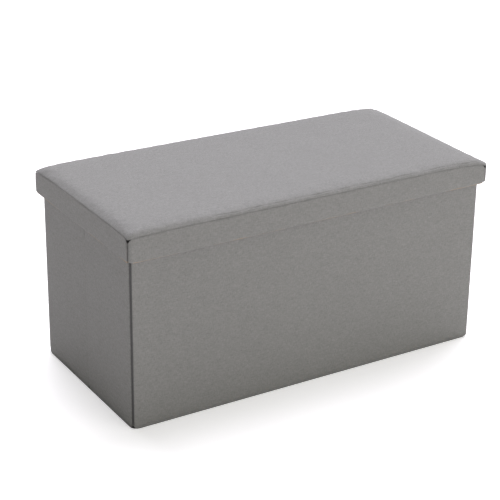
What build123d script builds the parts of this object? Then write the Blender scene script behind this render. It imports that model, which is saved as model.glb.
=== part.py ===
from build123d import *
import os

os.makedirs("parts", exist_ok=True)

# Collapsible storage bench: cloth-covered boards that fold flat against the back wall, a hinged
# base board inside, and a padded lid that lifts off.
# Frame: origin on the floor under the middle, +X along the length, +Y to the back, +Z up, mm.

# Whole bench
lid_length = 765.0
lid_width = 380.0
bench_height = 375.0
body_length = 747.0
body_width = 354.0

# Layers of the cloth-covered boards
cover_cloth = 1.0
lining_cloth = 0.8
wall_board = 4.0
wall_thickness = lining_cloth + wall_board + cover_cloth

# Walls
wall_top = 348.0
sweep_height = 5.5  # lower edge of the walls that fold, which swing over the base board
corner_groove = 2.6  # how far the front and back walls stop short of the end walls' faces
edge_rounding = 1.4
panel_gap = 0.3
hem_rounding = 3.5
strip_thickness = 1.2
crease_strip_size = (26.0, 0.5)

# Floor of the box
floor_cloth = 0.6
running_gap = 0.2
base_board_thickness = 3.0
base_cloth = 0.6
base_side_gap = 2.7
base_front_gap = 3.5
base_hinge_gap = 0.9  # from the back wall's lining to the base board's hinge line
hinge_strip_reach = 22.0
hinge_strip_cloth = 0.4
ribbon_length, ribbon_width, ribbon_band, ribbon_thickness = 70.0, 26.0, 9.0, 0.5
ribbon_inset = 24.0  # from the base board's front edge to the middle of the pull ribbon

# Lid
rim_height = 46.0
lid_corner_radius = 9.0
rim_board_thickness = 3.0
lid_board_thickness = 5.0
lid_seat_gap = 0.4
mitre_margin = 2.0

# Inner faces of the walls, levels of the base board and of the lid
inner_x = body_length / 2 - wall_thickness
inner_y = body_width / 2 - wall_thickness
base_bottom = floor_cloth + running_gap
base_board_top = base_bottom + base_board_thickness
base_top = base_board_top + base_cloth
base_back = inner_y - base_hinge_gap
base_front = -inner_y + base_front_gap
rim_bottom = bench_height - rim_height
rim_thickness = cover_cloth + rim_board_thickness + lining_cloth
lid_lining_bottom = wall_top + lid_seat_gap
lid_board_bottom = lid_lining_bottom + lining_cloth
foam_bottom = lid_board_bottom + lid_board_thickness
foam_top = bench_height - cover_cloth

# Hinge lines of the fold. The corner hinges stand inside the corners by the room that the raised
# base board takes in the folded stack; the crease hinges lie on the end walls' outer faces.
raised_base_room = base_hinge_gap + (base_top - base_bottom) + 0.5
pivot_x = inner_x
pivot_y = inner_y - raised_base_room
crease_x = inner_x + wall_thickness

up = Vector(0, 0, 1)


def save(piece, name):
    """Label a finished piece and write its STEP file."""
    piece.label = name
    export_step(piece, f"parts/{name}.step")


def wall_panel(name, inner_point, outward, length, bottom):
    """A board in its cover cloth with a lining; inner_point lies on the lined face at floor level."""
    inner_face = Plane(origin=inner_point, x_dir=up.cross(Vector(outward)), z_dir=outward)
    board_face = inner_face.offset(lining_cloth)
    height = wall_top - bottom
    middle = (0, bottom + height / 2)
    board_size = (length - 2 * cover_cloth, height - 2 * cover_cloth)

    with BuildPart() as board:
        with BuildSketch(board_face):
            with Locations(middle):
                Rectangle(*board_size)
        extrude(amount=wall_board)
    save(board.part, f"{name}_board")

    with BuildPart() as cover:
        with BuildSketch(board_face):
            with Locations(middle):
                Rectangle(length, height)
        extrude(amount=wall_board + cover_cloth)
        outer_face = cover.faces().sort_by(Axis(inner_point, outward))[-1]
        fillet(outer_face.edges(), edge_rounding)
        with BuildSketch(board_face):
            with Locations(middle):
                Rectangle(*board_size)
        extrude(amount=wall_board, mode=Mode.SUBTRACT)
    save(cover.part, f"{name}_cover")

    with BuildPart() as lining:
        with BuildSketch(inner_face):
            with Locations(middle):
                Rectangle(*board_size)
        extrude(amount=lining_cloth)
    save(lining.part, f"{name}_lining")


def wall_hem(name, inner_point, outward, length):
    """The soft lower hem of a folding wall, between its board and the floor cloth."""
    inner_face = Plane(origin=inner_point, x_dir=up.cross(Vector(outward)), z_dir=outward)
    hem_top = sweep_height - running_gap
    with BuildPart() as hem:
        with BuildSketch(inner_face.offset(lining_cloth)):
            with Locations((0, (base_bottom + hem_top) / 2)):
                Rectangle(length, hem_top - base_bottom)
            fillet(vertices().group_by(Axis.Y)[0], hem_rounding)
        extrude(amount=wall_board + cover_cloth)
    save(hem.part, f"{name}_hem")


def plain_slab(name, center, size):
    """A flat rectangular piece, given by its centre and its size."""
    with BuildPart() as slab:
        with Locations(center):
            Box(*size)
    save(slab.part, name)


def lid_layer(name, inset, low, high):
    """A layer of the lid with rounded corners, inset from the lid's outline."""
    with BuildPart() as layer:
        with BuildSketch(Plane.XY.offset(low)):
            RectangleRounded(lid_length - 2 * inset, lid_width - 2 * inset, lid_corner_radius - inset)
        extrude(amount=high - low)
    save(layer.part, name)


def ring_sketch(height, outer_inset, inner_inset):
    """A band that runs round the lid's outline, between two insets."""
    with BuildSketch(Plane.XY.offset(height)) as band:
        for inset, mode in ((outer_inset, Mode.ADD), (inner_inset, Mode.SUBTRACT)):
            size = (lid_length - 2 * inset, lid_width - 2 * inset)
            RectangleRounded(*size, lid_corner_radius - inset, mode=mode)
    return band.sketch


# Walls: the front and back are single panels, each end is two halves that fold inwards
long_panel = body_length - 2 * corner_groove
wall_panel("back", (0, inner_y, 0), (0, 1, 0), long_panel, floor_cloth)
wall_panel("front", (0, -inner_y, 0), (0, -1, 0), long_panel, sweep_height)
wall_hem("front", (0, -inner_y, 0), (0, -1, 0), long_panel)

half_panel = inner_y - 2 * panel_gap
half_middle = panel_gap + half_panel / 2
for side, side_sign in (("left", -1), ("right", 1)):
    for end, end_sign in (("rear", 1), ("front", -1)):
        half_point = (side_sign * inner_x, end_sign * half_middle, 0)
        wall_panel(f"{side}_{end}", half_point, (side_sign, 0, 0), half_panel, sweep_height)
        wall_hem(f"{side}_{end}", half_point, (side_sign, 0, 0), half_panel)

# Cloth strips that join the walls: in the grooves at the corners, and inside along the creases
strip_height = wall_top - sweep_height - 2 * cover_cloth
strip_middle_z = sweep_height + cover_cloth + strip_height / 2
strip_depth = wall_thickness - 2 * panel_gap - edge_rounding
for side, side_sign in (("left", -1), ("right", 1)):
    for end, end_sign in (("rear", 1), ("front", -1)):
        strip_x = side_sign * (long_panel / 2 + strip_thickness / 2)
        strip_y = end_sign * (inner_y + panel_gap + strip_depth / 2)
        plain_slab(
            f"corner_strip_{side}_{end}",
            (strip_x, strip_y, strip_middle_z),
            (strip_thickness, strip_depth, strip_height),
        )
    strip_width, strip_cloth = crease_strip_size
    plain_slab(
        f"crease_strip_{side}",
        (side_sign * (inner_x - strip_cloth / 2), 0, strip_middle_z),
        (strip_cloth, strip_width, strip_height),
    )

# Floor: the cloth under the whole box, and the base board that folds up against the back wall
floor_size = (body_length - 2 * panel_gap, body_width - 2 * panel_gap, floor_cloth)
plain_slab("bottom_sheet", (0, 0, floor_cloth / 2), floor_size)

base_length = 2 * (inner_x - base_side_gap)
base_depth = base_back - base_front
base_middle_y = (base_back + base_front) / 2
plain_slab(
    "base_board",
    (0, base_middle_y, (base_bottom + base_board_top) / 2),
    (base_length, base_depth, base_board_thickness),
)
plain_slab(
    "base_cover",
    (0, base_middle_y, (base_board_top + base_top) / 2),
    (base_length, base_depth, base_cloth),
)

with BuildPart() as base_pull_ribbon:
    with BuildSketch(Plane.XY.offset(base_top)):
        with Locations((0, base_front + ribbon_inset)):
            SlotOverall(ribbon_length, ribbon_width)
            SlotOverall(
                ribbon_length - 2 * ribbon_band, ribbon_width - 2 * ribbon_band, mode=Mode.SUBTRACT
            )
    extrude(amount=ribbon_thickness)
save(base_pull_ribbon.part, "base_pull_ribbon")

with BuildPart() as base_hinge_strip:
    with BuildSketch(Plane.YZ.offset(-base_length / 2)):
        with BuildLine():
            Polyline(
                (inner_y, base_top),
                (inner_y, base_top + hinge_strip_reach),
                (inner_y - hinge_strip_cloth, base_top + hinge_strip_reach),
                (inner_y - hinge_strip_cloth, base_top + hinge_strip_cloth),
                (inner_y - hinge_strip_reach, base_top + hinge_strip_cloth),
                (inner_y - hinge_strip_reach, base_top),
                close=True,
            )
        make_face()
    extrude(amount=base_length)
save(base_hinge_strip.part, "base_hinge_strip")

# Lid: lining, board, foam and top cover, one above the other
lid_layer("lid_lining", rim_thickness, lid_lining_bottom, lid_board_bottom)
lid_layer("lid_board", cover_cloth, lid_board_bottom, foam_bottom)
lid_layer("lid_foam_pad", cover_cloth, foam_bottom, foam_top)
lid_layer("lid_top_cover", 0, foam_top, bench_height)

# Lid rim: a folded cloth skirt all round, with a straight board inside each side
with BuildPart() as rim_ring:
    add(ring_sketch(rim_bottom, 0, rim_thickness))
    extrude(amount=lid_board_bottom - rim_bottom)
    add(ring_sketch(lid_board_bottom, 0, cover_cloth))
    extrude(amount=foam_top - lid_board_bottom)
    add(ring_sketch(rim_bottom + cover_cloth, cover_cloth, cover_cloth + rim_board_thickness))
    extrude(amount=lid_board_bottom - rim_bottom - cover_cloth, mode=Mode.SUBTRACT)

corner_x = lid_length / 2 + mitre_margin
corner_y = lid_width / 2 + mitre_margin
ridge_x = corner_x - corner_y
for side, side_sign in (("front", -1), ("back", 1)):
    with BuildPart() as skirt:
        add(rim_ring.part)
        with BuildSketch(Plane.XY.offset(rim_bottom)):
            Polygon(
                (-corner_x, side_sign * corner_y),
                (corner_x, side_sign * corner_y),
                (ridge_x, 0),
                (-ridge_x, 0),
                align=None,
            )
        extrude(amount=foam_top - rim_bottom, mode=Mode.INTERSECT)
    save(skirt.part, f"lid_skirt_{side}")
for side, side_sign in (("left", -1), ("right", 1)):
    with BuildPart() as skirt:
        add(rim_ring.part)
        with BuildSketch(Plane.XY.offset(rim_bottom)):
            Polygon(
                (side_sign * corner_x, -corner_y),
                (side_sign * corner_x, corner_y),
                (side_sign * ridge_x, 0),
                align=None,
            )
        extrude(amount=foam_top - rim_bottom, mode=Mode.INTERSECT)
    save(skirt.part, f"lid_skirt_{side}")

rim_board_height = lid_board_bottom - rim_bottom - cover_cloth
rim_board_z = rim_bottom + cover_cloth + rim_board_height / 2
board_inset = cover_cloth + rim_board_thickness / 2
for side, side_sign in (("front", -1), ("back", 1)):
    plain_slab(
        f"lid_rim_board_{side}",
        (0, side_sign * (lid_width / 2 - board_inset), rim_board_z),
        (lid_length - 2 * lid_corner_radius, rim_board_thickness, rim_board_height),
    )
for side, side_sign in (("left", -1), ("right", 1)):
    plain_slab(
        f"lid_rim_board_{side}",
        (side_sign * (lid_length / 2 - board_inset), 0, rim_board_z),
        (rim_board_thickness, lid_width - 2 * lid_corner_radius, rim_board_height),
    )

print(f"corner hinge lines at x {pivot_x:.2f}, y {pivot_y:.2f}; crease hinge lines at x {crease_x:.2f}")
print(f"base hinge line at y {base_back:.2f}, z {base_top:.2f}")
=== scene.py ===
import math

import bmesh
import bpy
import numpy as np
from mathutils import Matrix, Vector


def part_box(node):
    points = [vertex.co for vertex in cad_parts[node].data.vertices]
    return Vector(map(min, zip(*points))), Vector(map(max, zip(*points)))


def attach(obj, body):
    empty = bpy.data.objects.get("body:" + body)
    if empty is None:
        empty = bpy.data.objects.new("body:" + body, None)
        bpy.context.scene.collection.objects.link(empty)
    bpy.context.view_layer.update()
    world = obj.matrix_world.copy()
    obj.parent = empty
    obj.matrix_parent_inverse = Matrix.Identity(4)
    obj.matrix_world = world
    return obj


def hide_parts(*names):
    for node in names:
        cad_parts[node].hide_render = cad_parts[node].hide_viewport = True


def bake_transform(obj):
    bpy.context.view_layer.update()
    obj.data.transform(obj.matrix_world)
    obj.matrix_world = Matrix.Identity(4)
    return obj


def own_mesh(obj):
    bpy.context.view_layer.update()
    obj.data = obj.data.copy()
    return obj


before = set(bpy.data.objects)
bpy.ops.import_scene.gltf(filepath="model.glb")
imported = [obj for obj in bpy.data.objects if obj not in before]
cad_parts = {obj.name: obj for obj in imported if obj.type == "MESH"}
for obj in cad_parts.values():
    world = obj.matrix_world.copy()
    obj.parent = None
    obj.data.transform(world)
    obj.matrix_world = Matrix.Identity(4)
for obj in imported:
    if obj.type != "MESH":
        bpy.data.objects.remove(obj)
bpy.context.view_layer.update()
scene = bpy.context.scene
print("frame loaded:", len(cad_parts), "nodes")

# The camera: turned round the upright axis, raised, and rolled a little
cameraShape = {
    "azimuth": -31.38,
    "elevation": 23.96,
    "roll": 0.72,
    "lens": 119.98,
    "sensor": 36.0,
    "place": (-1.5393, -2.4788, 1.4963),
}


def makeCamera(look):
    azimuth, elevation = math.radians(look["azimuth"]), math.radians(look["elevation"])
    data = bpy.data.cameras.new("camera")
    data.lens = look["lens"]
    data.sensor_width = look["sensor"]
    camera = bpy.data.objects.new("camera", data)
    turn = Matrix.Rotation(azimuth, 4, "Z") @ Matrix.Rotation(math.pi / 2 - elevation, 4, "X")
    camera.matrix_world = (
        Matrix.Translation(look["place"]) @ turn @ Matrix.Rotation(math.radians(look["roll"]), 4, "Z")
    )
    scene.collection.objects.link(camera)
    scene.camera = camera


makeCamera(cameraShape)

# A pale floor, white beyond it, two wide soft lights, one from above behind and a weaker one from the
# front, and a soft spot from the front right that fades towards the left
stageShape = {
    "floor": (0.87, 0.86, 0.845),
    "glow": 0.43,
    "floorSize": 40.0,
    "world": 0.33,
    "worldColour": (1.0, 0.99, 0.965, 1.0),
    "key": {"from": (0.3, 0.4, 0.85), "width": 50.0, "strength": 3.66, "colour": (1.0, 0.982, 1.09)},
    "fill": {"from": (0.6, -1.0, 0.2), "width": 60.0, "strength": 1.2, "colour": (1.0, 0.99, 0.97)},
    "spot": {
        "place": (1.2, -2.4, 0.9),
        "towards": (0.22, -0.18, 0.17),
        "width": 30.0,
        "size": 0.4,
        "power": 32.0,
    },
}


def softLight(name, look):
    # A far lamp as wide as the sky it covers, in degrees
    data = bpy.data.lights.new(name, "SUN")
    data.angle = math.radians(look["width"])
    data.energy = look["strength"]
    data.color = look["colour"]
    lamp = bpy.data.objects.new(name, data)
    lamp.matrix_world = Vector(look["from"]).to_track_quat("Z", "Y").to_matrix().to_4x4()
    scene.collection.objects.link(lamp)


def softSpot(name, look):
    # A near lamp whose round pool of light, width degrees across, fades to its edge
    data = bpy.data.lights.new(name, "SPOT")
    data.energy = look["power"]
    data.spot_size = math.radians(look["width"])
    data.spot_blend = 1.0
    data.shadow_soft_size = look["size"]
    lamp = bpy.data.objects.new(name, data)
    turn = (Vector(look["place"]) - Vector(look["towards"])).to_track_quat("Z", "Y")
    lamp.matrix_world = Matrix.Translation(look["place"]) @ turn.to_matrix().to_4x4()
    scene.collection.objects.link(lamp)


def makeStage(look):
    half = look["floorSize"] / 2
    floorMesh = bpy.data.meshes.new("floor")
    corners = [(x * half, y * half, 0) for x, y in ((-1, -1), (1, -1), (1, 1), (-1, 1))]
    floorMesh.from_pydata(corners, [], [(0, 1, 2, 3)])
    floor = bpy.data.objects.new("floor", floorMesh)
    scene.collection.objects.link(floor)
    material = bpy.data.materials.new("pale floor")
    material.use_nodes = True
    shader = material.node_tree.nodes["Principled BSDF"]
    shader.inputs["Base Color"].default_value = (*look["floor"], 1)
    shader.inputs["Roughness"].default_value = 1.0
    shader.inputs["Specular IOR Level"].default_value = 0.0
    # The floor looks lighter to the camera than it is as a light, so that the shadow stays pale
    tree = material.node_tree
    lit = tree.nodes.new("ShaderNodeLightPath")
    tree.links.new(lit.outputs["Is Camera Ray"], shader.inputs["Emission Color"])
    shader.inputs["Emission Strength"].default_value = look["glow"]
    floorMesh.materials.append(material)
    world = bpy.data.worlds.new("studio")
    world.use_nodes = True
    tree = world.node_tree
    seen = tree.nodes.new("ShaderNodeLightPath")
    white = tree.nodes.new("ShaderNodeMix")
    white.inputs[2].default_value = look["world"]
    white.inputs[3].default_value = 1.0
    tree.links.new(seen.outputs["Is Camera Ray"], white.inputs[0])
    tree.links.new(white.outputs[0], tree.nodes["Background"].inputs["Strength"])
    tree.nodes["Background"].inputs["Color"].default_value = look["worldColour"]
    scene.world = world
    scene.view_settings.view_transform = "Standard"
    for name in ("key", "fill"):
        softLight(name, look[name])
    softSpot("spot", look["spot"])


makeStage(stageShape)
print("camera and stage made")


def loopWalk(halfX, halfY, radius, step, arcSteps, grading=0.0, lead=0.5):
    # Walks once round a rounded rectangle, anticlockwise from its near left corner, where it starts
    # at the share of the turn given by lead. Gives the centre line, from -1 to 1 on each axis, and
    # the outward angle there: the centre line moves along the sides, and the angle turns at the
    # corners. Grading draws the steps together towards the ends of each side, by a cosine.
    centreX, centreY, angle = [], [], []
    corners = ((-1, -1), (1, -1), (1, 1), (-1, 1))
    for side in range(4):
        (x0, y0), (x1, y1) = corners[side], corners[(side + 1) % 4]
        run = 2 * ((halfX if side % 2 == 0 else halfY) - radius)
        count = max(4, 2 * round(run / step / 2))
        turn = np.linspace(0, 1, arcSteps, endpoint=False)
        along = np.linspace(0, 1, count, endpoint=False)
        along = along * (1 - grading) + grading * (1 - np.cos(np.pi * along)) / 2
        centreX.append(np.r_[np.full(arcSteps, x0), x0 + (x1 - x0) * along])
        centreY.append(np.r_[np.full(arcSteps, y0), y0 + (y1 - y0) * along])
        angle.append(np.pi * (1 + side / 2 + np.r_[turn, np.ones(count)] / 2))
    skipped = round(arcSteps * lead)
    return tuple(np.roll(np.concatenate(part), -skipped) for part in (centreX, centreY, angle))


def ringPoints(walk, halfX, halfY, radius, inset):
    # The rounded rectangle drawn in by inset: the centre line plus the radius along the outward
    # angle. Inwards the radius shrinks in step with the rectangle, outwards it grows by the inset.
    centreX, centreY, angle = walk
    inset = np.asarray(inset, float)
    inset = inset if inset.ndim == 2 else inset.reshape(-1, 1)
    bend = np.where(inset > 0, radius * (1 - inset / min(halfX, halfY)), radius - inset)
    x = (halfX - inset - bend) * centreX + bend * np.cos(angle)
    y = (halfY - inset - bend) * centreY + bend * np.sin(angle)
    return np.stack([x, y], -1)


def ripple(points, length, seed, waves=14):
    # A sum of plane waves in random directions with lengths near the one given, about -1 to 1
    chance = np.random.default_rng(seed)
    direction = chance.normal(size=(waves, points.shape[-1]))
    direction /= np.linalg.norm(direction, axis=1, keepdims=True)
    lengths = length * chance.uniform(0.6, 1.9, (waves, 1))
    phase = chance.uniform(0, 2 * np.pi, waves)
    return np.sin(points @ (2 * np.pi * direction / lengths).T + phase).sum(-1) / math.sqrt(waves)


def runLength(inset, height):
    # Running length of a profile from its first point
    return np.r_[0, np.cumsum(np.hypot(np.diff(inset), np.diff(height)))]


def easeOut(distance, width):
    # From 0 at the edge to 1 inside, by one minus an exponential of the distance
    return 1 - np.exp(-np.maximum(distance, 0) / width)


meshShape = {"joinWithin": 2e-6, "sliver": 1e-6}


def gridPiece(name, points, weave, wrap=True, closed=False):
    # A surface on a grid of points, rows by columns; wrap joins the last column to the first.
    # weave holds the cloth's own coordinates in metres, which its threads follow.
    rows, columns = points.shape[:2]
    index = np.arange(rows * columns).reshape(rows, columns)
    if wrap:
        index = np.concatenate([index, index[:, :1]], 1)
    faces = np.stack([index[:-1, :-1], index[1:, :-1], index[1:, 1:], index[:-1, 1:]], -1)
    faces = faces.reshape(-1, 4)
    mesh = bpy.data.meshes.new(name)
    mesh.from_pydata(points.reshape(-1, 3), [], faces)
    layer = mesh.uv_layers.new(name="weave")
    layer.data.foreach_set("uv", weave.reshape(-1, 2)[faces.ravel()].astype(np.float32).ravel())
    edit = bmesh.new()
    edit.from_mesh(mesh)
    bmesh.ops.remove_doubles(edit, verts=edit.verts, dist=meshShape["joinWithin"])
    bmesh.ops.dissolve_degenerate(edit, edges=edit.edges, dist=meshShape["sliver"])
    if closed:
        bmesh.ops.recalc_face_normals(edit, faces=edit.faces)
    edit.to_mesh(mesh)
    edit.free()
    mesh.shade_smooth()
    piece = bpy.data.objects.new(name, mesh)
    scene.collection.objects.link(piece)
    return piece


def thicken(piece, thickness):
    # Gives cloth its thickness, on its inner side
    solid = piece.modifiers.new("thickness", "SOLIDIFY")
    solid.thickness = thickness
    solid.offset = -1
    return piece


def finishPiece(piece, material, slot, body, *nodes):
    # Gives a piece its material, the body it moves with and the nodes it stands for; the slot is not used
    piece.data.materials.clear()
    piece.data.materials.append(material)
    if nodes:
        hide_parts(*nodes)
    if body:
        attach(piece, body)
    return piece


class Wire:
    # A socket in a material's tree; arithmetic on it adds Math nodes
    def __init__(self, tree, socket=None):
        self.tree, self.socket = tree, socket

    def node(self, kind, settings, inputs, output=0):
        made = self.tree.nodes.new(kind)
        for name, value in settings.items():
            setattr(made, name, value)
        for key, value in inputs.items():
            if isinstance(value, Wire):
                self.tree.links.new(value.socket, made.inputs[key])
            else:
                made.inputs[key].default_value = value
        return Wire(self.tree, made.outputs[output])

    def math(self, operation, *terms):
        return self.node("ShaderNodeMath", {"operation": operation}, dict(enumerate(terms)))

    def shades(self, colour, spread):
        # The colour, darker at 0 and lighter at 1 by the spread
        ends = [tuple(c * (1 + sign * spread) for c in colour) + (1,) for sign in (-1, 1)]
        return self.node("ShaderNodeMix", {"data_type": "RGBA"}, {0: self, 6: ends[0], 7: ends[1]}, 2)

    def __add__(self, other):
        return self.math("ADD", self, other)

    __radd__ = __add__

    def __sub__(self, other):
        return self.math("SUBTRACT", self, other)

    def __rsub__(self, other):
        return self.math("SUBTRACT", other, self)

    def __mul__(self, other):
        return self.math("MULTIPLY", self, other)

    __rmul__ = __mul__

    def __mod__(self, other):
        return self.math("FLOORED_MODULO", self, other)

    def sine(self):
        return self.math("SINE", self)

    def whole(self):
        return self.math("FLOOR", self)


def newMaterial(name, roughness, specular):
    material = bpy.data.materials.new(name)
    material.use_nodes = True
    tree = material.node_tree
    tree.nodes.clear()
    shader = tree.nodes.new("ShaderNodeBsdfPrincipled")
    output = tree.nodes.new("ShaderNodeOutputMaterial")
    tree.links.new(shader.outputs["BSDF"], output.inputs["Surface"])
    shader.inputs["Roughness"].default_value = roughness
    shader.inputs["Specular IOR Level"].default_value = specular
    return material, Wire(tree), shader


def noiseAt(start, along, across, width, length, offset):
    # Noise stretched to patches of the width and length given, in metres
    place = start.node(
        "ShaderNodeCombineXYZ", {}, {"X": along * (1 / width), "Y": across * (1 / length), "Z": offset}
    )
    return start.node("ShaderNodeTexNoise", {}, {"Vector": place, "Scale": 1.0, "Detail": 3.0})


def wovenCloth(name, look):
    # Plain weave: each thread is rounded by a sine across it, and a sine along it takes it over and
    # under its neighbours, half a turn apart. Slubs are noise drawn out along the threads.
    material, start, shader = newMaterial(name, look["roughness"], look["specular"])
    cloth = start.node("ShaderNodeUVMap", {"uv_map": "weave"}, {})
    along = start.node("ShaderNodeSeparateXYZ", {}, {"Vector": cloth}, 0)
    across = start.node("ShaderNodeSeparateXYZ", {}, {"Vector": cloth}, 1)
    warp = along * (1 / look["pitch"])
    weft = across * (1 / look["pitch"])
    warpRound = ((warp % 1) * math.pi).sine()
    weftRound = ((weft % 1) * math.pi).sine()
    warpOver = ((warp.whole() + weft) * math.pi).sine()
    weftOver = ((weft.whole() + warp + 1) * math.pi).sine()
    under = look["under"]
    warpHeight = warpRound * (warpOver * under + (1 - under))
    weftHeight = weftRound * (weftOver * under + (1 - under))
    threads = start.math("MAXIMUM", warpHeight, weftHeight)
    slubWarp = noiseAt(start, along, across, look["slubWidth"], look["slubLength"], 3.1)
    slubWeft = noiseAt(start, along, across, look["slubLength"], look["slubWidth"], 7.7)
    heather = noiseAt(start, along, across, look["heather"], look["heather"], 1.3)
    cloud = noiseAt(start, along, across, look["cloud"], look["cloud"], 5.9)
    # The shade: each pattern less its mean, times its depth, about a half
    shade = (slubWarp + slubWeft - 1) * look["slubDepth"] + (heather - 0.5) * look["heatherDepth"]
    shade = shade + (cloud - 0.5) * look["cloudDepth"] + (threads - 0.6) * look["threadDepth"] + 0.5
    start.tree.links.new(shade.shades(look["colour"], look["spread"]).socket, shader.inputs["Base Color"])
    height = threads + (slubWarp + slubWeft) * look["slubHeight"]
    bump = start.node(
        "ShaderNodeBump",
        {},
        {"Strength": look["strength"], "Distance": look["relief"], "Height": height},
    )
    start.tree.links.new(bump.socket, shader.inputs["Normal"])
    shader.inputs["Sheen Weight"].default_value = look["sheen"]
    shader.inputs["Sheen Roughness"].default_value = look["sheenRoughness"]
    return material


def pressedBoard(name, look):
    # Pressed fibre board: fine fibres and broad patches of noise on a brown ground
    material, start, shader = newMaterial(name, look["roughness"], look["specular"])
    place = start.node("ShaderNodeTexCoord", {}, {}, 3)  # object coordinates
    fibre, patch = (
        start.node("ShaderNodeTexNoise", {}, {"Vector": place, "Scale": scale, "Detail": detail})
        for scale, detail in ((look["fibres"], 6.0), (look["patches"], 2.0))
    )
    shade = (fibre - 0.5) * look["fibreDepth"] + (patch - 0.5) * look["patchDepth"] + 0.5
    start.tree.links.new(shade.shades(look["colour"], look["spread"]).socket, shader.inputs["Base Color"])
    relief = {"Strength": look["strength"], "Distance": look["relief"], "Height": fibre}
    bump = start.node("ShaderNodeBump", {}, relief)
    start.tree.links.new(bump.socket, shader.inputs["Normal"])
    return material


# Lengths in metres; depths are how much each pattern changes the shade
linenLook = {
    "colour": (0.232, 0.230, 0.218),
    "pitch": 0.0009,
    "slubWidth": 0.0013,
    "slubLength": 0.007,
    "slubDepth": 0.5,
    "slubHeight": 0.5,
    "heather": 0.0032,
    "heatherDepth": 0.3,
    "cloud": 0.03,
    "cloudDepth": 0.08,
    "threadDepth": 0.25,
    "under": 0.38,
    "spread": 0.5,
    "strength": 0.55,
    "relief": 0.00022,
    "roughness": 0.9,
    "specular": 0.25,
    "sheen": 0.12,
    "sheenRoughness": 0.5,
}
liningLook = dict(
    linenLook,
    colour=(0.088, 0.089, 0.092),
    pitch=0.0006,
    slubLength=0.006,
    slubDepth=0.35,
    heatherDepth=0.3,
    relief=0.00012,
    sheen=0.05,
)
ribbonLook = dict(linenLook, colour=(0.06, 0.06, 0.064), pitch=0.0012, slubDepth=0.1, relief=0.0003)
# Painted shade: the outer cloth at the corners is given a near-black colour, which stands in for the shadow
# in the corner groove
cornerShadeLook = dict(liningLook, colour=(0.095, 0.094, 0.092))
boardLook = {
    "colour": (0.36, 0.27, 0.18),
    "fibres": 900.0,
    "fibreDepth": 0.9,
    "patches": 40.0,
    "patchDepth": 0.5,
    "spread": 0.4,
    "strength": 0.4,
    "relief": 0.0002,
    "roughness": 0.85,
    "specular": 0.3,
}

linen = wovenCloth("linen cloth", linenLook)
lining = wovenCloth("lining cloth", liningLook)
cornerShadeCloth = wovenCloth("joining cloth", cornerShadeLook)
ribbon = wovenCloth("ribbon", ribbonLook)
board = pressedBoard("pressed board", boardLook)
print("materials made")

# The walls: which way each looks, the body it folds with, and the sides of its cover, anticlockwise
# from the right as seen from outside, that are softly rounded (1) or nearly square
up = np.array((0.0, 0.0, 1.0))
walls = {
    "back": {"outward": (0, 1, 0), "body": "back_wall", "edges": (1, 0.5, 1, 0.5)},
    "front": {"outward": (0, -1, 0), "body": "front_wall", "edges": (1, 0.5, 1, 0.2)},
    "left_rear": {"outward": (-1, 0, 0), "body": "left_rear_panel", "edges": (0.05, 0.5, 1, 0.2)},
    "left_front": {"outward": (-1, 0, 0), "body": "left_front_panel", "edges": (1, 0.5, 0.05, 0.2)},
    "right_rear": {"outward": (1, 0, 0), "body": "right_rear_panel", "edges": (1, 0.5, 0.05, 0.2)},
    "right_front": {"outward": (1, 0, 0), "body": "right_front_panel", "edges": (0.05, 0.5, 1, 0.2)},
}


def standing(node, outward, creaseGap=None):
    # Where a node's box stands as a wall: the middle of its outer face, its axes along, up and
    # outwards, its half sizes along and up, and its depth
    low, high = (np.array(corner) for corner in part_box(node))
    if creaseGap is not None:
        low[1], high[1] = (creaseGap, high[1]) if low[1] > 0 else (low[1], -creaseGap)
    outward = np.array(outward, float)
    along = np.cross(up, outward)
    size = high - low
    depth = abs(size @ outward)
    middle = (low + high) / 2 + outward * depth / 2
    return middle, np.stack([along, up, outward]), abs(size @ along) / 2, size[2] / 2, depth


def sideShare(walk, shares):
    # The shares of the four sides (right, top, left, bottom), eased round the corners by the angle
    turns = (walk[2] / (np.pi / 2)) % 4
    return np.interp(turns, [0, 1, 2, 3, 4], [*shares, shares[0]])


coverShape = {
    "cloth": 0.0009,
    "edge": 0.0024,
    "faceTo": 1.6,  # the face's rings end and the side's begin at these multiples of the edge's radius
    "sideFrom": 1.05,
    "corner": 0.002,
    "step": 0.008,
    "puff": 0.0005,
    "puffWidth": 0.012,
    "wave": 0.00035,
    "waveLength": 0.11,
    "waveEase": 0.02,
    "creaseGap": 0.00003,
    "wedge": 0.025,
    "tick": 0.0005,
    "tickFrom": 0.309,
    "tickWithin": 0.001,
}


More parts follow.
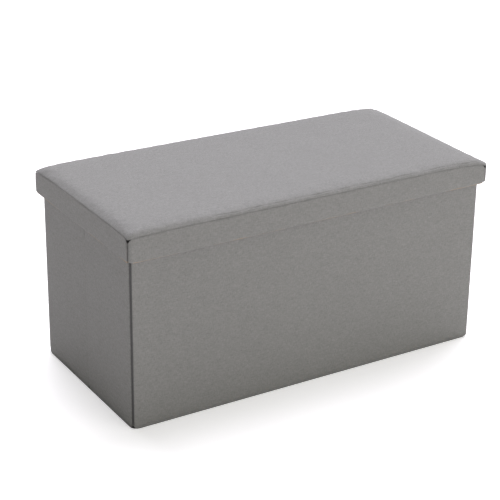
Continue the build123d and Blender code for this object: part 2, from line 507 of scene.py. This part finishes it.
def wallCover(name, wall, look, seed):
    # A cloth tray over the wall's board: flat rings run out from the middle, turn over the edge on a
    # quarter circle and go down the side. The face swells by an exponential of the distance from its
    # edge, and has long shallow waves. Half an end wall stops at the crease.
    halves = look["creaseGap"] if "_" in name else None
    middle, axes, halfAlong, halfUp, depth = standing(f"{name}_cover", wall["outward"], halves)
    reach = min(halfAlong, halfUp)
    walk = loopWalk(halfAlong, halfUp, look["corner"], look["step"], 6)
    edge = look["edge"] * sideShare(walk, wall["edges"])
    flat = np.linspace(reach, look["edge"] * look["faceTo"], round(reach / look["step"]))[:, None]
    turn = np.linspace(0, np.pi / 2, 7)[:, None]
    sides = np.linspace(look["edge"] * look["sideFrom"], depth, 3)[:, None]
    ones = np.ones_like(edge)
    inset = np.concatenate([flat * ones, edge * (1 - np.sin(turn)), np.zeros_like(sides * ones)])
    height = np.concatenate([np.zeros_like(flat * ones), -edge * (1 - np.cos(turn)), -sides * ones])
    flatPoints = ringPoints(walk, halfAlong, halfUp, look["corner"], inset)
    run = runLength(inset[:, 0], height[:, 0])
    weave = ringPoints(walk, halfAlong, halfUp, look["corner"], reach - run)
    if halves:
        # The crease opens slightly just under the lid
        crease = halfAlong if wall["edges"][0] < 1 else -halfAlong
        near = abs(flatPoints[..., 0] - crease) < look["tickWithin"]
        above = flatPoints[..., 1] + middle[2] > look["tickFrom"]
        flatPoints[..., 0] -= look["tick"] * np.sign(crease) * near * above
    points = middle + flatPoints @ axes[:2] + height[..., None] * axes[2]
    swell = look["puff"] * easeOut(inset, look["puffWidth"])
    wave = look["wave"] * ripple(points, look["waveLength"], seed) * easeOut(inset, look["waveEase"])
    bulge = swell + wave
    if halves:
        # Near the crease the two halves stay clear of each other when folded together
        bulge = np.minimum(bulge, look["wedge"] * (abs(points[..., 1]) - halves))
    points = points + bulge[..., None] * axes[2]
    piece = thicken(gridPiece(f"{name}_cover_cloth", points, weave), look["cloth"])
    finishPiece(piece, linen, "outer_cloth", wall["body"], f"{name}_cover")
    flatSize = (2 * halfAlong + 2 * depth, 2 * halfUp + 2 * depth)


for number, (name, wall) in enumerate(walls.items()):
    wallCover(name, wall, coverShape, 100 + number)
print("wall covers made")


slabShape = {"waveEase": 0.015}


def clothSlab(name, middle, axes, halfAlong, halfUp, depth, look, seed):
    # A thin closed piece: rings run out over its face, round the edge on a half circle and back to
    # the middle behind. Only the face has waves, which fade towards its edge.
    edge = depth / 2
    reach = min(halfAlong, halfUp)
    walk = loopWalk(halfAlong, halfUp, look["corner"], look["step"], 4)
    flat = np.linspace(reach, edge * 2, max(3, round(reach / look["step"])))
    turn = np.linspace(0, np.pi, 7)
    inset = np.r_[flat, edge * (1 - np.sin(turn)), flat[::-1]]
    height = np.r_[np.zeros(len(flat)), edge * (np.cos(turn) - 1), np.full(len(flat), -depth)]
    run = runLength(inset, height)
    flatPoints = ringPoints(walk, halfAlong, halfUp, look["corner"], inset)
    weave = ringPoints(walk, halfAlong, halfUp, look["corner"], reach - np.minimum(run, run[-1] - run))
    points = middle + flatPoints @ axes[:2] + height[:, None, None] * axes[2]
    wave = look["wave"] * (1 + ripple(points, look["waveLength"], seed))
    wave = wave * easeOut(inset - edge, slabShape["waveEase"])[:, None]
    wave[len(flat) + 4 :] = 0
    return gridPiece(name, points + wave[..., None] * axes[2], weave, closed=True)


liningShape = {"corner": 0.003, "step": 0.012, "wave": 0.00012, "waveLength": 0.07}
for number, (name, wall) in enumerate(walls.items()):
    inward = -np.array(wall["outward"])
    middle, axes, halfAlong, halfUp, depth = standing(f"{name}_lining", inward)
    seed = 200 + number
    piece = clothSlab(f"{name}_lining_cloth", middle, axes, halfAlong, halfUp, depth, liningShape, seed)
    finishPiece(piece, lining, "lining_cloth", wall["body"], f"{name}_lining")
    2 * halfAlong
    2 * halfUp
print("wall linings made")

hemShape = {
    "corner": 0.0012,
    "edge": 0.0016,
    "step": 0.006,
    "grading": 0.9,
    "endRise": 0.0075,
    "mostRise": 0.9,  # of the hem's height
    "keep": 0.1,
}


def wallHem(name, wall, look):
    # The soft lower hem: a closed roll with rounded edges, whose lower side rises in a quarter
    # circle at both ends.
    middle, axes, halfAlong, halfUp, depth = standing(f"{name}_hem", wall["outward"])
    walk = loopWalk(halfAlong, halfUp, look["corner"], look["step"], 4, look["grading"])
    turn = np.linspace(0, np.pi / 2, 5)
    edge = look["edge"]
    inset = np.r_[halfUp, edge * (1 - np.sin(turn)), edge * (1 - np.sin(turn[::-1])), halfUp]
    height = np.r_[0, edge * (np.cos(turn) - 1), edge * (1 - np.cos(turn[::-1])) - depth, -depth]
    flatPoints = ringPoints(walk, halfAlong, halfUp, look["corner"], inset)
    beyond = np.clip((abs(flatPoints[..., 0]) - halfAlong) / look["endRise"] + 1, 0, 1)
    rise = look["endRise"] * (1 - np.sqrt(1 - beyond**2))
    share = (flatPoints[..., 1] + halfUp) / (2 * halfUp)
    flatPoints[..., 1] += np.minimum(rise, look["mostRise"] * 2 * halfUp) * (1 - share)
    run = runLength(inset, height)
    weave = np.stack(np.broadcast_arrays(flatPoints[..., 0], run[:, None]), -1)
    points = middle + flatPoints @ axes[:2] + height[:, None, None] * axes[2]
    piece = gridPiece(f"{name}_hem_cloth", points, weave, closed=True)
    finishPiece(piece, linen, "outer_cloth", wall["body"], f"{name}_hem")
    top = middle[2] + halfUp
    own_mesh(piece)


for name, wall in walls.items():
    if name != "back":
        wallHem(name, wall, hemShape)
print("hems made")

# Cloth that joins the walls at the corners and creases: each runs from one body to the next
cornerShape = {
    "thickness": 0.00025,
    "clear": 0.0003,
    "bend": 0.0009,
    "start": (0.00015, 0.0007),  # where the path starts, in from the long wall's face and beyond its end
    "alongEnd": 0.0015,
    "blendFrom": 0.0022,
    "blendTo": 0.0001,
    "step": 0.03,
    "wave": 0.00003,
    "waveLength": 0.03,
    "lift": 0.003,
}
cornerJoins = {
    "left_rear": ("back_wall", "left_rear_panel"),
    "left_front": ("front_wall", "left_front_panel"),
    "right_rear": ("back_wall", "right_rear_panel"),
    "right_front": ("front_wall", None),
}


def ribbonBetween(name, path, sideways, low, high, look, seed):
    # A standing strip of cloth: a path in plan carried straight up from low to high, with fine waves
    levels = np.linspace(low, high, max(3, round((high - low) / look["step"])))
    plan = np.repeat(path[:, None, :], len(levels), 1)
    height = np.broadcast_to(levels[None, :, None], (len(path), len(levels), 1))
    points = np.concatenate([plan, height], -1)
    points[..., :2] += look["wave"] * ripple(points, look["waveLength"], seed)[..., None] * sideways
    run = np.r_[0, np.cumsum(np.linalg.norm(np.diff(path, axis=0), axis=1))]
    weave = np.stack(np.broadcast_arrays(run[:, None], levels[None, :]), -1)
    return thicken(gridPiece(name, points, weave, wrap=False), look["thickness"])


for number, (corner, (wallBody, endBody)) in enumerate(cornerJoins.items()):
    stripLow, stripHigh = (np.array(c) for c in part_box(f"corner_strip_{corner}"))
    endLow, endHigh = (np.array(c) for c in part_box(f"{corner}_cover"))
    signX = -1 if corner.startswith("left") else 1
    signY = 1 if corner.endswith("rear") else -1
    wallX = abs((stripHigh if signX < 0 else stripLow)[0])
    wallY = abs((stripHigh if signY > 0 else stripLow)[1])
    endY = abs((endHigh if signY > 0 else endLow)[1])
    # Along the end of the long wall, and on a quarter circle into the edge of the short one, so that the
    # near-black cloth lines the corner groove as painted shade
    clear, bend = cornerShape["clear"], cornerShape["bend"]
    startIn, startOut = cornerShape["start"]
    innerX, innerY = wallX + clear, endY + clear
    turn = np.linspace(0, np.pi / 2, 7)
    pathX = np.r_[wallX - startIn, innerX, innerX, innerX + bend * (1 - np.cos(turn))]
    pathY = np.r_[
        wallY + startOut, wallY, wallY - cornerShape["alongEnd"], innerY + bend * (1 - np.sin(turn))
    ]
    path = np.stack([pathX, pathY], -1) * (signX, signY)
    if signX * signY > 0:
        path = path[::-1]
    piece = ribbonBetween(
        f"corner_cloth_{corner}",
        path,
        np.array((signX, signY)),
        stripLow[2] + cornerShape["lift"],
        stripHigh[2],
        cornerShape,
        300 + number,
    )
    # The corner cloth's near-black colour is painted shade for the shadow in the corner groove
    finishPiece(piece, cornerShadeCloth, "outer_cloth", None if endBody else wallBody, f"corner_strip_{corner}")
    if endBody:
        start = Vector((signX * innerX, signY * (endY + cornerShape["blendFrom"]), 0))
        end = Vector((signX * innerX, signY * (innerY + cornerShape["blendTo"]), 0))
        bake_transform(piece)

creaseShape = {"thickness": 0.0005, "step": 0.03, "wave": 0.0001, "waveLength": 0.03, "blend": 0.003}
for side, signX in (("left", -1), ("right", 1)):
    low, high = (np.array(c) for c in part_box(f"crease_strip_{side}"))
    y = np.linspace(low[1], high[1], 13)
    faceX = min(abs(low[0]), abs(high[0]))
    path = np.stack([np.full(len(y), signX * faceX), y * -signX], -1)
    piece = ribbonBetween(
        f"crease_cloth_{side}", path, np.array((1.0, 0.0)), low[2], high[2], creaseShape, 310 + signX
    )
    finishPiece(piece, lining, "lining_cloth", None, f"crease_strip_{side}")
    start, end = (0, creaseShape["blend"], 0), (0, -creaseShape["blend"], 0)
    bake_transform(piece)
print("corner and crease cloth made")

# The floor of the box
flatAxes = np.eye(3)


def lying(*nodes):
    # The middle of the top of some nodes' shared box, its half sizes and its depth
    boxes = np.array([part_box(node) for node in nodes])
    low, high = boxes[:, 0].min(0), boxes[:, 1].max(0)
    size = high - low
    return np.array((*(low + high)[:2] / 2, high[2])), size[0] / 2, size[1] / 2, size[2]


bottomShape = {"corner": 0.014, "step": 0.012, "wave": 0.00003, "waveLength": 0.08, "keep": 0.12}
middle, halfX, halfY, depth = lying("bottom_sheet")
piece = clothSlab("bottom_cloth", middle, flatAxes, halfX, halfY, depth, bottomShape, 401)
finishPiece(piece, lining, "lining_cloth", "back_wall", "bottom_sheet")
2 * halfX
2 * halfY
middle[1] + halfY
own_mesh(piece)

baseShape = {"corner": 0.004, "step": 0.012, "wave": 0.00004, "waveLength": 0.09, "around": 0.00015}
middle, halfX, halfY, depth = lying("base_board", "base_cover")
baseEdge, baseTop = middle[1] + halfY, middle[2]
halfX, halfY, depth = (size + baseShape["around"] for size in (halfX, halfY, depth))
piece = clothSlab("base_cloth", middle, flatAxes, halfX, halfY, depth, baseShape, 402)
finishPiece(piece, lining, "lining_cloth", "base", "base_cover")
2 * halfX
2 * halfY

# A flat band with rounded edges, whose section is carried round a loop with nearly half-round ends
ribbonShape = {"band": 0.009, "step": 0.003, "roundness": 0.98, "edge": 0.06}
middle, halfX, halfY, depth = lying("base_pull_ribbon")
bend, edge = halfY * ribbonShape["roundness"], ribbonShape["edge"]
walk = loopWalk(halfX, halfY, bend, ribbonShape["step"], 16)
inset = ribbonShape["band"] * np.array((0.5, edge, 0, edge, 0.5, 1 - edge, 1, 1 - edge, 0.5))
height = -depth * np.array((0, edge, 0.5, 1 - edge, 1, 1 - edge, 0.5, edge, 0))
flatPoints = ringPoints(walk, halfX, halfY, bend, inset)
points = middle + flatPoints @ flatAxes[:2] + height[:, None, None] * flatAxes[2]
piece = gridPiece("base_pull_loop", points, flatPoints, closed=True)
finishPiece(piece, ribbon, "ribbon", "base", "base_pull_ribbon")

# The hinge cloth runs down the back wall, round the corner on a quarter circle and along the base
hingeShape = {
    "thickness": 0.0004,
    "bend": 0.0015,
    "step": 0.02,
    "straightFrom": 0.4,  # of each leg's length, from the corner
    "blendReach": 0.003,
    "blendDrop": 0.0002,
}
low, high = (np.array(c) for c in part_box("base_hinge_strip"))
straight = (high[2] - low[2]) * hingeShape["straightFrom"]
turn = np.linspace(0, np.pi / 2, 7)
bend = hingeShape["bend"]
pathY = np.r_[high[1], high[1], high[1] - bend * (1 - np.cos(turn)), low[1] + straight, low[1]]
pathZ = np.r_[high[2], low[2] + straight, low[2] + bend * (1 - np.sin(turn)), low[2], low[2]]
pathY = pathY - hingeShape["thickness"]
pathZ = pathZ + hingeShape["thickness"]
acrossX = np.linspace(low[0], high[0], round((high[0] - low[0]) / hingeShape["step"]))
points = np.stack(np.broadcast_arrays(acrossX[None, :], pathY[:, None], pathZ[:, None]), -1)
run = np.r_[0, np.cumsum(np.hypot(np.diff(pathY), np.diff(pathZ)))]
weave = np.stack(np.broadcast_arrays(acrossX[None, :], run[:, None]), -1)
piece = thicken(gridPiece("base_hinge_cloth", points, weave, wrap=False), hingeShape["thickness"])
finishPiece(piece, lining, "lining_cloth", None, "base_hinge_strip")
start = (0, baseEdge, baseTop + hingeShape["blendReach"])
end = (0, baseEdge - hingeShape["blendReach"], baseTop + hingeShape["blendDrop"])
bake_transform(piece)
print("floor of the box made")

# The lid. Everything on it is drawn from one walk round its outline.
lidShape = {
    "radius": 0.007,
    "step": 0.0036,
    "arcSteps": 20,
    "lead": 0.2,
    # Heights where each side starts and ends: front, right, back, left
    "seam": ((0.3774, 0.3738), (0.3667, 0.3656), (0.3668, 0.3762), (0.3763, 0.3771)),
    "edge": ((0.3774, 0.3738), (0.3667, 0.3656), (0.3668, 0.3764), (0.3763, 0.3771)),
    # Heights at the corners: near left, near right, far right, far left
    "seamCorner": (0.3742, 0.3668, 0.3632, 0.3688),
    "edgeCorner": (0.3755, 0.3680, 0.3640, 0.3710),
    "dip": 0.032,
    "spread": 0.035,
}
_, (lidHalfX, lidHalfY, _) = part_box("lid_top_cover")
(_, _, rimLow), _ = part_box("lid_skirt_front")
lidWalk = loopWalk(
    lidHalfX, lidHalfY, lidShape["radius"], lidShape["step"], lidShape["arcSteps"], lead=lidShape["lead"]
)
outline = ringPoints(lidWalk, lidHalfX, lidHalfY, lidShape["radius"], 0)[0]
place = np.r_[0, np.cumsum(np.linalg.norm(np.diff(outline, axis=0), axis=1))]
perimeter = place[-1] + np.linalg.norm(outline[0] - outline[-1])
cornerColumns = np.flatnonzero(np.isclose(lidWalk[2] / (np.pi / 2) % 1, lidShape["lead"]))
cornerPlaces = np.r_[place[cornerColumns], perimeter]
side = np.searchsorted(cornerPlaces, place, side="right") - 1
alongSide = (place - cornerPlaces[side]) / (cornerPlaces[side + 1] - cornerPlaces[side])
fromStart, toFinish = place - cornerPlaces[side], cornerPlaces[side + 1] - place
gap = np.minimum(fromStart, toFinish)


def levelRound(sides, corners, reach):
    # A height for each step of the walk: straight along each side, and drawn to each corner's own
    # height by an exponential of the distance from it
    sides, corners = np.array(sides), np.array(corners)
    level = sides[side, 0] + (sides[side, 1] - sides[side, 0]) * alongSide
    level = level + (corners[side] - level) * np.exp(-fromStart / reach)
    return level + (corners[(side + 1) % 4] - level) * np.exp(-toFinish / reach)


seamLevel = levelRound(lidShape["seam"], lidShape["seamCorner"], lidShape["dip"])
edgeLevel = levelRound(lidShape["edge"], lidShape["edgeCorner"], lidShape["spread"])

swellShape = {
    "spacing": 0.0075,
    "margin": 0.004,
    "pressure": 4.0,
    "frames": 20,
    "slack": -0.006,
    "start": 0.0004,
    "startLength": 0.05,
    "cap": 0.0035,
}


def swollenSheet(look, seed):
    # The cloth over the foam: a sheet pinned round its edge, with slight random waves to start from,
    # is blown up by the cloth solver. Gives the grid lines and the rise, limited by a tanh.
    x = np.linspace(-1, 1, round(2 * lidHalfX / look["spacing"])) * (lidHalfX - look["margin"])
    y = np.linspace(1, -1, round(2 * lidHalfY / look["spacing"])) * (lidHalfY - look["margin"])
    points = np.stack([*np.meshgrid(x, y), np.zeros((len(y), len(x)))], -1)
    points[1:-1, 1:-1, 2] = look["start"] * ripple(points, look["startLength"], seed)[1:-1, 1:-1]
    sheet = gridPiece("swell", points, points[..., :2], wrap=False)
    pinned = np.ones(points.shape[:2], bool)
    pinned[1:-1, 1:-1] = False
    group = sheet.vertex_groups.new(name="pinned")
    group.add(np.flatnonzero(pinned.ravel()).tolist(), 1.0, "REPLACE")
    cloth = sheet.modifiers.new("cloth", "CLOTH").settings
    cloth.use_pressure = True
    cloth.uniform_pressure_force = look["pressure"]
    cloth.effector_weights.gravity = 0
    cloth.shrink_min = look["slack"]
    cloth.vertex_group_mass = "pinned"
    for step in range(1, look["frames"] + 1):
        scene.frame_set(step)
    solved = sheet.evaluated_get(bpy.context.evaluated_depsgraph_get()).to_mesh()
    places = np.empty(len(solved.vertices) * 3)
    solved.vertices.foreach_get("co", places)
    scene.frame_set(1)
    mesh = sheet.data
    bpy.data.objects.remove(sheet)
    bpy.data.meshes.remove(mesh)
    rise = places.reshape(points.shape)[..., 2]
    print("cloth rises", rise.min(), "to", rise.max())
    return x, y[::-1], look["cap"] * np.tanh(rise[::-1] / look["cap"])


def onGrid(x, y, values, places):
    # Bilinear value at each place of a regular grid; places outside take the nearest edge's value
    column = np.clip(np.interp(places[..., 0], x, np.arange(len(x))), 0, len(x) - 1.001)
    row = np.clip(np.interp(places[..., 1], y, np.arange(len(y))), 0, len(y) - 1.001)
    c, r = column.astype(int), row.astype(int)
    u, v = column - c, row - r
    low = values[r, c] * (1 - u) + values[r, c + 1] * u
    high = values[r + 1, c] * (1 - u) + values[r + 1, c + 1] * u
    return low * (1 - v) + high * v


cushionShape = {
    "plateau": ((0.3888, 0.3839), (0.3868, 0.3793)),
    "rounding": {"front": 0.0052, "right": 0.02, "back": 0.013, "left": 0.0078},
    "steepness": 0.0013,
    "inset": 0.0002,
    "lipRadius": 0.0005,
    "grooveDepth": 0.0018,
    "foldPlace": 0.0046,
    "foldSway": (0.17, 0.07),  # share of the place, wave length
    "foldDepth": 0.0012,
    "foldWidth": 0.0007,
    "foldRidge": 0.0008,
    "ridgePlace": 0.55,  # of the fold's place, as is the ridge's width
    "ridgeWidth": 0.3,
    "foldStrength": 0.75,
    "foldUneven": (0.35, 0.045),
    "foldFrom": (-0.62, 0.1),  # share of the half length, and of the room in which the fold starts
    "foldTo": (0.985, 0.03),
    "pucker": 0.0004,
    "puckerLength": 0.022,
    "puckerReach": 0.014,
    "puckerFrom": 0.002,
    "wave": 0.0004,
    "waveLength": 0.12,
    "waveEase": 0.03,
    "dimple": 0.0015,
    "dimpleRadius": 0.0036,
    "cornerDeep": 0.012,
    "cornerReach": 0.005,
    "neck": 0.003,
    "footRound": 0.0015,
    "clear": 0.0002,
    "nearBand": 0.0115,  # the width of the finest rings, beside the seam
    "nearRings": 28,
    "farRings": 34,
    "farGrading": 1.6,
    "weaveColumn": 90,  # a column clear of the corners, where the weave's rows are measured
}


def cornerShare(reach):
    # One at the corners, and less away from them, by an exponential of the distance squared
    return np.exp(-((gap / reach) ** 2))


def cushionHeight(look, inset, places, swell):
    # Height of the top cloth. From the seam it turns up over a rounded lip and rises steeply to the
    # cushion's edge. From there to the plateau it goes by a product over the four sides: a tanh of
    # the distance at the front and left, one minus an exponential at the back and right.
    x, y = places[..., 0], places[..., 1]
    width = look["rounding"]
    share = np.tanh((y + lidHalfY) / width["front"]) * easeOut(lidHalfY - y, width["back"])
    share = share * np.tanh((x + lidHalfX) / width["left"]) * easeOut(lidHalfX - x, width["right"])
    (nearLeft, nearRight), (farLeft, farRight) = look["plateau"]
    u, v = x / lidHalfX / 2 + 0.5, y / lidHalfY / 2 + 0.5
    near, far = nearLeft * (1 - u) + nearRight * u, farLeft * (1 - u) + farRight * u
    plateau = near * (1 - v) + far * v
    lip = look["lipRadius"] * (1 + np.sqrt(1 - (1 - np.clip(inset / look["lipRadius"], 0, 1)) ** 2))
    height = seamLevel + lip + (edgeLevel - seamLevel) * easeOut(inset, look["steepness"])
    height = height + (plateau - swellShape["cap"] - edgeLevel - lip) * share
    height = height + onGrid(*swell, places) * share
    # An uneven second fold along the front, and small puckers that fade inwards
    along = np.stack([place, np.zeros_like(place)], -1)
    (sway, swayLength), (uneven, unevenLength) = look["foldSway"], look["foldUneven"]
    (foldFrom, fadeIn), (foldTo, fadeOut) = look["foldFrom"], look["foldTo"]
    foldPlace = look["foldPlace"] * (1 + sway * ripple(along, swayLength, 31))
    across = outline[:, 0] / lidHalfX
    front = (side == 0) * np.clip((across - foldFrom) / fadeIn, 0, 1)
    front = front * np.clip((foldTo - across) / fadeOut, 0, 1)
    strength = front * (look["foldStrength"] + uneven * ripple(along, unevenLength, 32))
    crease = np.exp(-(((inset - foldPlace) / look["foldWidth"]) ** 2))
    ridgePlace, ridgeWidth = foldPlace * look["ridgePlace"], foldPlace * look["ridgeWidth"]
    ridge = np.exp(-(((inset - ridgePlace) / ridgeWidth) ** 2))
    height = height + strength * (look["foldRidge"] * ridge - look["foldDepth"] * crease)
    pucker = look["pucker"] * ripple(along, look["puckerLength"], 33)
    pucker = pucker * np.exp(-inset / look["puckerReach"])
    height = height + pucker * easeOut(inset, look["puckerFrom"])
    # A dimple at each corner
    return height - look["dimple"] * cornerShare(look["dimpleRadius"]) * np.exp(-inset / look["dimpleRadius"])


def lidCushion(look, swell):
    # Rings run out over the top, turn under the lip into the seam, and go down and under the foam
    near = look["nearBand"] * np.linspace(0, 1, look["nearRings"]) ** 2
    share = np.linspace(0, 1, look["farRings"])[1:] ** look["farGrading"]
    top = np.r_[near, near[-1] + (lidHalfY - near[-1]) * share][::-1][:, None]
    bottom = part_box("lid_foam_pad")[0][2] + look["clear"]
    places = ringPoints(lidWalk, lidHalfX, lidHalfY, lidShape["radius"], top)
    height = cushionHeight(look, top, places, swell)
    height = height + look["wave"] * ripple(places, look["waveLength"], 34) * easeOut(top, look["waveEase"])
    turn = np.linspace(0, np.pi / 2, 5)[1:, None]
    lip, deep = look["lipRadius"], look["grooveDepth"]
    seam = seamLevel - look["dimple"] * cornerShare(look["dimpleRadius"])
    under = seam + lip * (1 - np.sin(turn))
    floor = np.full_like(seam, bottom)
    footRound = look["footRound"]
    lower = [seam, seam - look["neck"], floor + footRound, floor, floor]
    deep = deep + look["cornerDeep"] * cornerShare(look["cornerReach"])
    ones = np.ones_like(deep)
    inset = np.r_[
        (top + look["inset"] * (1 - top / lidHalfY)) * ones,
        (look["inset"] + lip * (1 - np.cos(turn))) * ones,
        np.stack([deep, deep, deep, deep + footRound, lidHalfY * ones]),
    ]
    height = np.r_[height, under, np.array(lower)]
    run = runLength(inset[:, look["weaveColumn"]], height[:, look["weaveColumn"]])
    flatPoints = ringPoints(lidWalk, lidHalfX, lidHalfY, lidShape["radius"], inset)
    weave = ringPoints(lidWalk, lidHalfX, lidHalfY, lidShape["radius"], lidHalfY - run)
    points = np.concatenate([flatPoints, height[..., None]], -1)
    piece = gridPiece("lid_cushion", points, weave, closed=True)
    finishPiece(piece, linen, "outer_cloth", "lid", "lid_foam_pad", "lid_top_cover")


lidCushion(cushionShape, swollenSheet(swellShape, 30))
print("lid cushion made")

skirtShape = {
    "cloth": 0.00075,
    "topRadius": 0.0005,
    "below": 0.0002,
    "bulge": 0.0004,
    "wave": 0.0003,
    "waveLength": 0.06,
    "waveEase": 0.01,
    "bead": 0.0036,
    "foldDepth": 0.0048,
    "foldRound": (0.0012, 0.0003),
    "innerTop": 0.3481,
    "endGroove": 0.0024,
    "endWidth": 0.0015,
    "notch": 0.0072,
    "notchWidth": 0.0042,
    "endRadius": 0.0035,
    "endRise": 0.0017,
    "endReach": 0.02,
}


def lidSkirt(name, columns, look, seed):
    # Profile from the seam down: a quarter circle out of the seam, the face with a slight bulge, a
    # quarter circle round the lower edge, then the bottom and the inner side. It is carried along
    # part of the walk. Its ends draw in, dip at the seam and rise at the lower edge.
    walk = tuple(part[columns] for part in lidWalk)
    run = np.r_[0, np.cumsum(np.linalg.norm(np.diff(outline[columns], axis=0), axis=1))]
    toEnd = np.minimum(run, run[-1] - run)
    corner = np.clip(1 - toEnd / look["endRadius"], 0, 1)
    low = rimLow + look["endRise"] * np.exp(-toEnd / look["endReach"])
    low = low + look["endRadius"] * (1 - np.sqrt(1 - corner**2))
    high = seamLevel[columns] - look["below"] - look["topRadius"]
    high = high - look["notch"] * np.exp(-((toEnd / look["notchWidth"]) ** 2))
    turn = np.linspace(0, np.pi / 2, 5)[:, None]
    share = np.linspace(0, 1, 14)[1:, None]
    bead = look["bead"]
    face = high + (low + bead - high) * share
    height = np.r_[high + look["topRadius"] * np.cos(turn), face]
    roll = np.linspace(np.pi / 14, np.pi / 2, 7)[:, None]
    height = np.r_[height, low + bead * (1 - np.sin(roll))]
    depth = look["foldDepth"]
    roundFar, roundNear = look["foldRound"]
    inner = low + (look["innerTop"] - low) * np.array([[0.5], [1]])
    height = np.r_[height, low + np.array([[0], [roundNear], [roundFar]]), inner]
    inset = np.r_[look["topRadius"] * (1 - np.sin(turn)), -look["bulge"] * np.sin(np.pi * share)]
    inset = np.r_[inset, bead * (1 - np.cos(roll))]
    inset = np.r_[inset, depth - np.array([[roundFar], [roundNear], [0], [0], [0]])]
    # How much each row takes part in the end grooves and the waves: none at the seam and inside
    outer = np.r_[np.zeros(4), np.ones(17), np.linspace(1, 0.6, 4), np.zeros(5)][:, None]
    inset = inset + outer * look["endGroove"] * np.exp(-((toEnd / look["endWidth"]) ** 2))
    across = np.stack(np.broadcast_arrays(run, height), -1)
    wave = look["wave"] * ripple(across, look["waveLength"], seed)
    inset = inset + outer * wave * easeOut(toEnd, look["waveEase"])
    flatPoints = ringPoints(walk, lidHalfX, lidHalfY, lidShape["radius"], inset)
    half = len(run) // 2
    down = runLength(inset[:, half], height[:, half])
    weave = np.stack(np.broadcast_arrays(run, -down[:, None]), -1)
    points = np.concatenate([flatPoints, height[..., None]], -1)
    piece = thicken(gridPiece(f"lid_skirt_cloth_{name}", points, weave, wrap=False), look["cloth"])
    finishPiece(piece, linen, "outer_cloth", "lid", f"lid_skirt_{name}")


ends = np.r_[cornerColumns, len(place)]
for number, name in enumerate(("front", "right", "back", "left")):
    columns = np.arange(ends[number], ends[number + 1] + 1) % len(place)
    lidSkirt(name, columns, skirtShape, 500 + number)
print("lid skirts made")

middle, halfX, halfY, depth = lying("lid_lining")
middle[2] -= depth
downAxes = np.diag((1, -1, -1))
piece = clothSlab("lid_lining_cloth", middle, downAxes, halfX, halfY, depth, liningShape, 520)
finishPiece(piece, lining, "lining_cloth", "lid", "lid_lining")
2 * halfX
2 * halfY

# The lid's board has rounded corners, so that it stays inside the cloth
boardShape = {"corner": 0.015, "step": 0.02, "wave": 0.0, "waveLength": 0.1}
middle, halfX, halfY, depth = lying("lid_board")
piece = clothSlab("lid_board_sheet", middle, flatAxes, halfX, halfY, depth, boardShape, 521)
finishPiece(piece, board, "board", "lid", "lid_board")

for name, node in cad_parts.items():
    if "board" in name:
        node.data.materials.clear()
        node.data.materials.append(board)
print("lid lining and boards finished")
